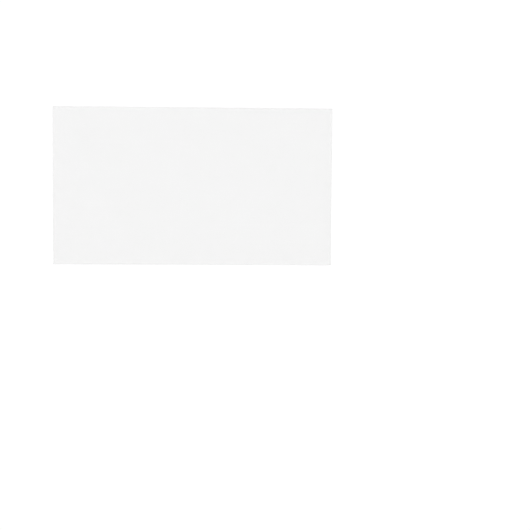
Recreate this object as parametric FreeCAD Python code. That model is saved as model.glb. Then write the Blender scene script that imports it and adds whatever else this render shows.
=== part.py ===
"""Anti-glare screen protector for a 13.3-inch 16:9 laptop display: one die-cut plastic film.

Units are millimetres. The film lies flat, with its self-adhesive back on the plane z = 0 and its
matte front facing up. The origin is the middle of the back, +X runs along the long side, and +Y
points to the long edge that meets the top of the display.
"""

import FreeCAD, Part
import math
import os

# Driving dimensions
FILM_WIDTH = 294.0
FILM_HEIGHT = 166.0
FILM_THICKNESS = 0.20

# The die leaves a small arc at each corner of the outline and rolls the front edge over as it
# goes in. The back edge, where it comes out, stays square.
CORNER_RADIUS = 0.50
EDGE_ROLL = 0.05

UP = FreeCAD.Vector(0, 0, 1)
QUARTER_TURN = math.pi / 2


def corner_arcs():
    """The four corner arcs of the cut, counter-clockwise from the +X +Y corner."""
    reach_x = FILM_WIDTH / 2 - CORNER_RADIUS
    reach_y = FILM_HEIGHT / 2 - CORNER_RADIUS
    quadrants = [(1, 1), (-1, 1), (-1, -1), (1, -1)]
    arcs = []
    for turn, (side_x, side_y) in enumerate(quadrants):
        centre = FreeCAD.Vector(side_x * reach_x, side_y * reach_y, 0)
        start = turn * QUARTER_TURN
        circle = Part.Circle(centre, UP, CORNER_RADIUS)
        arcs.append(Part.ArcOfCircle(circle, start, start + QUARTER_TURN))
    return arcs


def cut_outline():
    """Closed wire of the cut: each corner arc, and the straight side from it to the next one."""
    arcs = corner_arcs()
    edges = []
    for arc, next_arc in zip(arcs, arcs[1:] + arcs[:1]):
        edges.append(arc.toShape())
        edges.append(Part.LineSegment(arc.EndPoint, next_arc.StartPoint).toShape())
    return Part.Wire(edges)


def anti_glare_film():
    """The film: the outline raised by its thickness, with the front edge rounded all the way round."""
    blank = Part.Face(cut_outline()).extrude(UP * FILM_THICKNESS)
    front_edges = [edge for edge in blank.Edges if edge.BoundBox.ZMin > FILM_THICKNESS / 2]
    return blank.makeFillet(EDGE_ROLL, front_edges)


def main():
    os.makedirs("parts", exist_ok=True)
    film = anti_glare_film()
    film.exportStep("parts/anti_glare_film.step")
    print("anti_glare_film: valid", film.isValid(), "solids", len(film.Solids), "faces", len(film.Faces))
    print("anti_glare_film: volume", round(film.Volume, 3), "mm3, size", film.BoundBox)


main()
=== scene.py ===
"""Looks of an anti-glare screen protector: one thin translucent film, matte in front and glossy behind.

Lengths are metres, in the frame of the packed model: the film lies on z = 0 with its matte front up.
"""

import math

import bpy
import numpy as np
from bpy.props import FloatProperty, FloatVectorProperty, IntProperty, PointerProperty
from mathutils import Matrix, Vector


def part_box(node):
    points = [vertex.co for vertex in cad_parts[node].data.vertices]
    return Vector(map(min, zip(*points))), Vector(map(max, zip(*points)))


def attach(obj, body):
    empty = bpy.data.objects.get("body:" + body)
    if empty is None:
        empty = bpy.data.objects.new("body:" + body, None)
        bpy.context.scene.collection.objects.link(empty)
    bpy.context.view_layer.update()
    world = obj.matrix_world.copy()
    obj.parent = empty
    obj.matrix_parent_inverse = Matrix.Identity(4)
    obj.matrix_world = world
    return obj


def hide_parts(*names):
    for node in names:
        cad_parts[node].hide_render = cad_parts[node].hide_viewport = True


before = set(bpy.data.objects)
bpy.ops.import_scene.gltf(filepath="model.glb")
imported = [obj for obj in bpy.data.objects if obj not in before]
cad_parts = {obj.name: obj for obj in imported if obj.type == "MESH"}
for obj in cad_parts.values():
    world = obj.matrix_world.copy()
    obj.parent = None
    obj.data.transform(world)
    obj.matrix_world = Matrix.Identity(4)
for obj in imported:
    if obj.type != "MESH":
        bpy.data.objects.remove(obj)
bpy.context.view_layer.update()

bl_info = {
    "name": "Anti-Glare Film",
    "version": (1, 0, 0),
    "blender": (4, 5, 0),
    "location": "View3D > Sidebar > Film",
    "description": "Lays out an anti-glare screen protector and the studio it is shown in",
    "category": "Add Mesh",
}

MILLIMETRE = 0.001
MICROMETRE = 0.000001
QUARTER_TURN = math.pi / 2
WHITE = (1.0, 1.0, 1.0)
# Edges that turn by more than this are shaded as sharp
SHARP_ANGLE = math.radians(45)

# The plain solid that the film stands for, with its body and its size
FILM_NODE = "anti_glare_film"
FILM_BODY = "root"
FILM_LOW, FILM_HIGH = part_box(FILM_NODE)
FILM_SIZE = FILM_HIGH - FILM_LOW


# Settings that a user can change


def even(value):
    """The same value three times."""
    return (value, value, value)


def length(name, description, default):
    """A length in metres."""
    return FloatProperty(
        name=name, description=description, default=default, min=0, precision=6, unit="LENGTH")


def share(name, description, default):
    """A part of one."""
    return FloatProperty(
        name=name, description=description, default=default, min=0, max=1, precision=3, subtype="FACTOR")


def number(name, description, default):
    """A plain number."""
    return FloatProperty(name=name, description=description, default=default, min=0, precision=3)


def count(name, description, default):
    """A whole number."""
    return IntProperty(name=name, description=description, default=default, min=1)


def grey(name, description, default):
    """A colour, neutral unless it is changed."""
    return FloatVectorProperty(
        name=name, description=description, default=even(default), min=0, max=1, subtype="COLOR")


def place(name, description, default):
    """A point in metres."""
    return FloatVectorProperty(
        name=name, description=description, default=default, subtype="TRANSLATION")


def aim(name, description, degrees):
    """Turns about X, Y and Z from pointing straight down."""
    turns = [math.radians(turn) for turn in degrees]
    return FloatVectorProperty(name=name, description=description, default=turns, subtype="EULER")


class FilmSettings(bpy.types.PropertyGroup):
    """Sizes of the film, and how finely it is meshed."""

    width: length("Width", "Long side", FILM_SIZE.x)
    height: length("Height", "Short side", FILM_SIZE.y)
    thickness: length("Thickness", "Plastic with its coat and adhesive", FILM_SIZE.z)
    corner_radius: length("Corner Radius", "Arc that the die leaves at each corner", 0.5 * MILLIMETRE)
    edge_roll: length("Edge Roll", "Round that the die presses into the front edge", 0.05 * MILLIMETRE)
    cell: length("Cell", "Spacing of the grid on the flat faces", 4 * MILLIMETRE)
    arc_cells: count("Arc Cells", "Cells on each half of a corner arc", 5)
    roll_cells: count("Roll Cells", "Cells up the rolled front edge", 4)


class CoatSettings(bpy.types.PropertyGroup):
    """The matte anti-glare front."""

    tone: grey("Tone", "Mean colour of the haze", 0.96)
    opacity: share("Opacity", "How much it hides of what lies behind", 0.58)
    gloss_index: number("Gloss Index", "Refractive index of the acrylic hard coat", 1.50)
    roughness: share("Roughness", "How widely it scatters a reflection", 0.50)
    roughness_swing: share("Roughness Swing", "How far the grain changes the roughness", 0.10)
    grain_size: length("Grain Size", "Width of its bumps", 0.12 * MILLIMETRE)
    grain_height: length("Grain Height", "Height of its bumps", 10 * MICROMETRE)
    # Painted light and shade on the grain: lighter on the bump tops, darker in the hollows between them
    grain_shade_swing: share("Grain Swing", "How far the grain lightens or darkens the haze", 0.08)
    patch_size: length("Patch Size", "Width of the slow patches in the haze", 45 * MILLIMETRE)
    patch_swing: share("Patch Swing", "How far the patches lighten or darken the haze", 0.008)
    streak_length: length("Streak Length", "Length of the faint coating streaks", 400 * MILLIMETRE)
    streak_width: length("Streak Width", "Width of the faint coating streaks", 3 * MILLIMETRE)
    streak_swing: share("Streak Swing", "How far the streaks lighten or darken the haze", 0.006)


class EdgeSettings(bpy.types.PropertyGroup):
    """The rim that the die leaves."""

    # Painted shade: the cut's tone is set darker than the film's so that the rim shows as a thin darker line
    tone: grey("Tone", "Mean colour of the cut", 0.80)
    gloss_index: number("Gloss Index", "Refractive index of the polyester", 1.57)
    roughness: share("Roughness", "How widely it scatters a reflection", 0.42)
    roughness_swing: share("Roughness Swing", "How far the scores change the roughness", 0.12)
    score_width: length("Score Width", "Width of the scores that the die leaves", 0.06 * MILLIMETRE)
    score_length: length("Score Length", "Length of the scores up the cut", 1.5 * MILLIMETRE)
    score_depth: length("Score Depth", "Depth of the scores", 3 * MICROMETRE)
    score_swing: share("Score Swing", "How far the scores lighten or darken the cut", 0.08)


class BackSettings(bpy.types.PropertyGroup):
    """The clear self-adhesive back."""

    tone: grey("Tone", "Mean colour of the adhesive", 0.96)
    opacity: share("Opacity", "How much it hides of what lies behind", 0.10)
    gloss_index: number("Gloss Index", "Refractive index of the silicone", 1.41)
    roughness: share("Roughness", "How widely it scatters a reflection", 0.14)
    roughness_swing: share("Roughness Swing", "How far the clouds change the roughness", 0.05)
    cloud_size: length("Cloud Size", "Width of its faint clouds", 30 * MILLIMETRE)
    cloud_swing: share("Cloud Swing", "How far the clouds lighten or darken the adhesive", 0.02)
    ripple_size: length("Ripple Size", "Width of its shallow ripple", 2.5 * MILLIMETRE)
    ripple_height: length("Ripple Height", "Height of its shallow ripple", 1.5 * MICROMETRE)


class StageSettings(bpy.types.PropertyGroup):
    """Floor, light and camera."""

    floor_reach: length("Floor Reach", "Half the side of the floor", 9.0)
    floor_gap: length("Floor Gap", "Air between the film and the floor", 0.1 * MILLIMETRE)
    floor_tone: grey("Floor Tone", "Colour of the pale floor", 0.96)
    horizon_light: number("Horizon Light", "Strength of the room's light from the horizon", 0.12)
    zenith_light: number("Zenith Light", "Strength of the room's light from straight overhead", 1.25)
    lamp_aim: aim("Lamp Aim", "Turn of the broad lamp from shining straight down", (-16.0, -14.0, 0.0))
    lamp_spread: FloatProperty(
        name="Lamp Spread", description="How wide the lamp looks from the film", default=math.radians(40),
        min=0, subtype="ANGLE")
    lamp_strength: number("Lamp Strength", "Light of the lamp on a surface that faces it", 0.67)
    camera_place: place("Camera Place", "Where the camera hangs over the film", (0.0, 0.040, 1.559))
    camera_aim: aim("Camera Aim", "Turn of the camera from looking straight down", (-4.53, -2.79, 0.46))
    camera_lens: FloatProperty(
        name="Camera Lens", description="Focal length in millimetres", default=100.0, min=1, unit="CAMERA")


# Shader maths


class Amount:
    """A node's output, as a value. Arithmetic on it adds Math nodes beside that node."""

    def __init__(self, shader, socket):
        self.shader = shader
        self.socket = socket

    def maths(self, operation, first, second):
        """One step of arithmetic."""
        return self.shader.node("ShaderNodeMath", {"operation": operation}, {0: first, 1: second})

    def __add__(self, other):
        return self.maths("ADD", self, other)

    def __sub__(self, other):
        return self.maths("SUBTRACT", self, other)

    def __rsub__(self, other):
        return self.maths("SUBTRACT", other, self)

    def __mul__(self, other):
        return self.maths("MULTIPLY", self, other)

    __radd__ = __add__
    __rmul__ = __mul__


class Shader:
    """The nodes of a material or a world."""

    def __init__(self, owner):
        owner.use_nodes = True
        self.tree = owner.node_tree
        self.tree.nodes.clear()

    def node(self, kind, settings=None, sockets=None, output=0):
        """Adds a node: its settings first, then a value or a link for each socket. Gives one output."""
        node = self.tree.nodes.new(kind)
        for name, value in (settings or {}).items():
            setattr(node, name, value)
        for name, value in (sockets or {}).items():
            if isinstance(value, Amount):
                self.tree.links.new(value.socket, node.inputs[name])
            else:
                node.inputs[name].default_value = value
        return Amount(self, node.outputs[output]) if len(node.outputs) else None


class Finish(Shader):
    """A material and the nodes that make it."""

    def __init__(self, name):
        self.material = bpy.data.materials.new(name)
        super().__init__(self.material)

    def lumps(self, size, octaves):
        """Noise from -1 to 1 about 0, whose lumps have that size along X, Y and Z."""
        spot = self.node("ShaderNodeTexCoord", output="Object")
        cell = self.node("ShaderNodeVectorMath", {"operation": "DIVIDE"}, {0: spot, 1: size})
        noise = self.node("ShaderNodeTexNoise", None, {"Vector": cell, "Scale": 1.0, "Detail": octaves})
        return noise * 2 - 1

    def tint(self, tone, lean):
        """The tone lightened by the lean, a share of itself, to white at most. A lean below 0 darkens it."""
        leaning = self.node("ShaderNodeVectorMath", {"operation": "SCALE"}, {0: tone, "Scale": 1 + lean})
        return self.node("ShaderNodeVectorMath", {"operation": "MINIMUM"}, {0: leaning, 1: WHITE})

    def relief(self, lumps, height):
        """A normal tilted by lumps of that height."""
        return self.node("ShaderNodeBump", None, {"Height": lumps, "Distance": height})

    def plastic(self, sockets):
        """Ends the material in a plastic with those sockets, and gives the material."""
        surface = self.node("ShaderNodeBsdfPrincipled", None, sockets)
        self.node("ShaderNodeOutputMaterial", None, {"Surface": surface})
        return self.material


def solid(tone):
    """A colour with the full alpha that a colour socket asks for."""
    return (*tone, 1.0)


# Finishes of the film


def matte_coat(coat):
    """The anti-glare front: fine grain whose tone is painted lighter on its bumps and darker between them as
    light and shade, slow patches in the haze, and faint streaks along the width.
    """
    finish = Finish("matte_coat")
    grain = finish.lumps(even(coat.grain_size), octaves=2)
    patches = finish.lumps(even(coat.patch_size), octaves=3)
    streaks = finish.lumps((coat.streak_length, coat.streak_width, coat.streak_width), octaves=2)
    # The grain's share is painted light and shade on the bumps; the patches and streaks are the haze's own
    # tone
    lean = coat.grain_shade_swing * grain + coat.patch_swing * patches + coat.streak_swing * streaks
    return finish.plastic({
        "Base Color": finish.tint(coat.tone, lean),
        "Roughness": coat.roughness + coat.roughness_swing * grain,
        "IOR": coat.gloss_index,
        "Alpha": coat.opacity,
        "Normal": finish.relief(grain, coat.grain_height),
    })


def cut_edge(edge):
    """The rim: painted darker than the film, as shade along the cut, with fine scores up the cut."""
    finish = Finish("cut_edge")
    scores = finish.lumps((edge.score_width, edge.score_width, edge.score_length), octaves=2)
    return finish.plastic({
        "Base Color": finish.tint(edge.tone, edge.score_swing * scores),
        "Roughness": edge.roughness + edge.roughness_swing * scores,
        "IOR": edge.gloss_index,
        "Normal": finish.relief(scores, edge.score_depth),
    })


def adhesive_back(back):
    """The self-adhesive back: clear and glossy, with a shallow ripple and faint clouds."""
    finish = Finish("adhesive_back")
    clouds = finish.lumps(even(back.cloud_size), octaves=3)
    ripple = finish.lumps(even(back.ripple_size), octaves=1)
    return finish.plastic({
        "Base Color": finish.tint(back.tone, back.cloud_swing * clouds),
        "Roughness": back.roughness + back.roughness_swing * clouds,
        "IOR": back.gloss_index,
        "Alpha": back.opacity,
        "Normal": finish.relief(ripple, back.ripple_height),
    })


# Surface of the film


def grid_lines(side, film):
    """Grid lines across a side: even between the centres of the corner arcs, and finer past them."""
    reach = side / 2 - film.corner_radius
    flat = np.linspace(-reach, reach, round(2 * reach / film.cell) + 1)
    bend = np.linspace(reach, side / 2, film.arc_cells + 1)[1:]
    return np.concatenate([-bend[::-1], flat, bend])


def film_points(along, across, inset, lift, film):
    """Points on the film, from distances along its width and across its height, measured from the middle.

    Up to the centres of the corner arcs, a point is where its two distances say. Past them, the square
    in each corner is bent into a quarter disc: the greater of the point's two distances from the arc's
    centre is its radius, and the ratio of the two is its angle, half a quarter turn on the diagonal.
    The inset draws the outline in all the way round, and the lift is the height.
    """
    reach_x = film.width / 2 - film.corner_radius
    reach_y = film.height / 2 - film.corner_radius
    past_x = np.maximum(np.abs(along) - reach_x, 0) / film.corner_radius
    past_y = np.maximum(np.abs(across) - reach_y, 0) / film.corner_radius
    greater = np.maximum(past_x, past_y)
    ratio = np.divide(np.minimum(past_x, past_y), greater, out=np.zeros_like(greater), where=greater > 0)
    angle = np.where(past_x >= past_y, ratio, 2 - ratio) * QUARTER_TURN / 2
    radius = greater * (film.corner_radius - inset)
    x = np.sign(along) * (np.minimum(np.abs(along), reach_x) + radius * np.cos(angle))
    y = np.sign(across) * (np.minimum(np.abs(across), reach_y) + radius * np.sin(angle))
    z = np.broadcast_to(lift, x.shape)
    return np.stack([x, y, z], axis=-1)


def edge_profile(film):
    """Insets and lifts up the rim: the top of the wall, then a quarter circle that ends at the front."""
    turn = np.linspace(0, QUARTER_TURN, film.roll_cells + 1)[:-1, None]
    inset = film.edge_roll * (1 - np.cos(turn))
    lift = film.thickness - film.edge_roll * (1 - np.sin(turn))
    return inset, lift


def quads(lines):
    """The four-sided faces between neighbouring lines of a grid of vertex numbers."""
    corners = [lines[:-1, :-1], lines[1:, :-1], lines[1:, 1:], lines[:-1, 1:]]
    return np.stack(corners, axis=-1).reshape(-1, 4)


def border(lines):
    """The outermost entries of a grid in one row, counter-clockwise."""
    return np.concatenate([lines[:-1, 0], lines[-1, :-1], lines[:0:-1, -1], lines[0, :0:-1]])


def film_mesh(film):
    """Closed mesh of the film: a grid for each face, and the edge profile carried round the border.

    The front takes the first material, the rim the second and the back the third.
    """
    along, across = np.meshgrid(grid_lines(film.width, film), grid_lines(film.height, film), indexing="ij")
    back = film_points(along, across, 0, 0, film)
    front = film_points(along, across, film.edge_roll, film.thickness, film)
    inset, lift = edge_profile(film)
    rings = film_points(border(along)[None, :], border(across)[None, :], inset, lift, film)

    back_lines = np.arange(along.size).reshape(along.shape)
    ring_lines = along.size + np.arange(rings[..., 0].size).reshape(rings.shape[:2])
    front_lines = along.size + ring_lines.size + back_lines
    rim_lines = np.vstack([border(back_lines), ring_lines, border(front_lines)])
    closed_rim = np.hstack([rim_lines, rim_lines[:, :1]])

    points = np.concatenate([part.reshape(-1, 3) for part in (back, rings, front)])
    faces = [quads(front_lines), quads(closed_rim.T), quads(back_lines.T)]
    mesh = bpy.data.meshes.new("protector_film")
    mesh.from_pydata(points, [], np.concatenate(faces))
    finish_of_face = np.repeat(range(len(faces)), [len(part) for part in faces])
    mesh.polygons.foreach_set("material_index", finish_of_face)
    mesh.shade_smooth()
    mesh.set_sharp_from_angle(angle=SHARP_ANGLE)
    return mesh


# Stage


def add_object(name, data):
    """Links new data into the scene, at the origin."""
    made = bpy.data.objects.new(name, data)
    bpy.context.scene.collection.objects.link(made)
    return made


def add_floor(stage):
    """One level square, just under the film, quite without gloss."""
    corners = np.array([(-1, -1, 0), (1, -1, 0), (1, 1, 0), (-1, 1, 0)]) * stage.floor_reach
    mesh = bpy.data.meshes.new("studio_floor")
    mesh.from_pydata(corners - (0, 0, stage.floor_gap), [], [(0, 1, 2, 3)])
    flat_paint = {"Base Color": solid(stage.floor_tone), "Specular IOR Level": 0.0}
    mesh.materials.append(Finish("floor_paint").plastic(flat_paint))
    add_object("studio_floor", mesh)


def add_room_light(stage):
    """Soft light from all round, which grows from the horizon to the zenith, in a room that looks white."""
    world = bpy.data.worlds.new("studio_room")
    room = Shader(world)
    direction = room.node("ShaderNodeTexCoord", output="Generated")
    height = room.node("ShaderNodeSeparateXYZ", None, {"Vector": direction}, output="Z")
    range_of_light = {"Value": height, "To Min": stage.horizon_light, "To Max": stage.zenith_light}
    glow = room.node("ShaderNodeMapRange", None, range_of_light)
    seen = room.node("ShaderNodeLightPath", output="Is Camera Ray")
    strength = seen + (1 - seen) * glow
    surface = room.node("ShaderNodeBackground", None, {"Color": solid(WHITE), "Strength": strength})
    room.node("ShaderNodeOutputWorld", None, {"Surface": surface})
    bpy.context.scene.world = world


def add_lamp(stage):
    """One broad, far lamp, so that its light is the same all over the floor."""
    lamp = bpy.data.lights.new("broad_lamp", "SUN")
    lamp.angle = stage.lamp_spread
    lamp.energy = stage.lamp_strength
    add_object("broad_lamp", lamp).rotation_euler = stage.lamp_aim


def add_camera(stage):
    """A camera that looks down on the film."""
    lens = bpy.data.cameras.new("overhead_camera")
    lens.lens = stage.camera_lens
    camera = add_object("overhead_camera", lens)
    camera.location = stage.camera_place
    camera.rotation_euler = stage.camera_aim
    bpy.context.scene.camera = camera


# Operators and panel


class FILM_OT_lay(bpy.types.Operator):
    """Lay the film on the floor in place of its plain solid"""

    bl_idname = "film.lay"
    bl_label = "Lay Film"

    def execute(self, context):
        film = context.scene.film
        mesh = film_mesh(film)
        mesh.materials.append(matte_coat(context.scene.film_coat))
        mesh.materials.append(cut_edge(context.scene.film_edge))
        mesh.materials.append(adhesive_back(context.scene.film_back))
        piece = add_object("protector_film", mesh)
        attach(piece, FILM_BODY)
        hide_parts(FILM_NODE)
        return {"FINISHED"}


class FILM_OT_set_stage(bpy.types.Operator):
    """Set up the pale floor, the soft light and the camera over the film"""

    bl_idname = "film.set_stage"
    bl_label = "Set Stage"

    def execute(self, context):
        stage = context.scene.film_stage
        add_floor(stage)
        add_room_light(stage)
        add_lamp(stage)
        add_camera(stage)
        context.scene.view_settings.view_transform = "Standard"
        return {"FINISHED"}


SETTINGS = {
    "film": FilmSettings,
    "film_coat": CoatSettings,
    "film_edge": EdgeSettings,
    "film_back": BackSettings,
    "film_stage": StageSettings,
}
OPERATORS = (FILM_OT_lay, FILM_OT_set_stage)


class FILM_PT_sidebar(bpy.types.Panel):
    """Every setting, and the operators that use them"""

    bl_idname = "FILM_PT_sidebar"
    bl_label = "Anti-Glare Film"
    bl_space_type = "VIEW_3D"
    bl_region_type = "UI"
    bl_category = "Film"

    def draw(self, context):
        for group, settings in SETTINGS.items():
            box = self.layout.box()
            box.label(text=settings.__doc__)
            for name in settings.__annotations__:
                box.prop(getattr(context.scene, group), name)
        for operator in OPERATORS:
            self.layout.operator(operator.bl_idname)


CLASSES = (*SETTINGS.values(), *OPERATORS, FILM_PT_sidebar)


def register():
    """Registers every class, and hangs the settings on the scene."""
    for cls in CLASSES:
        bpy.utils.register_class(cls)
    for group, settings in SETTINGS.items():
        setattr(bpy.types.Scene, group, PointerProperty(type=settings))


def unregister():
    """Undoes what register does, in the opposite order."""
    for group in SETTINGS:
        delattr(bpy.types.Scene, group)
    for cls in reversed(CLASSES):
        bpy.utils.unregister_class(cls)


def main():
    """Lays the film and sets the stage round it."""
    register()
    bpy.ops.film.lay()
    bpy.ops.film.set_stage()


if __name__ == "__main__":
    main()
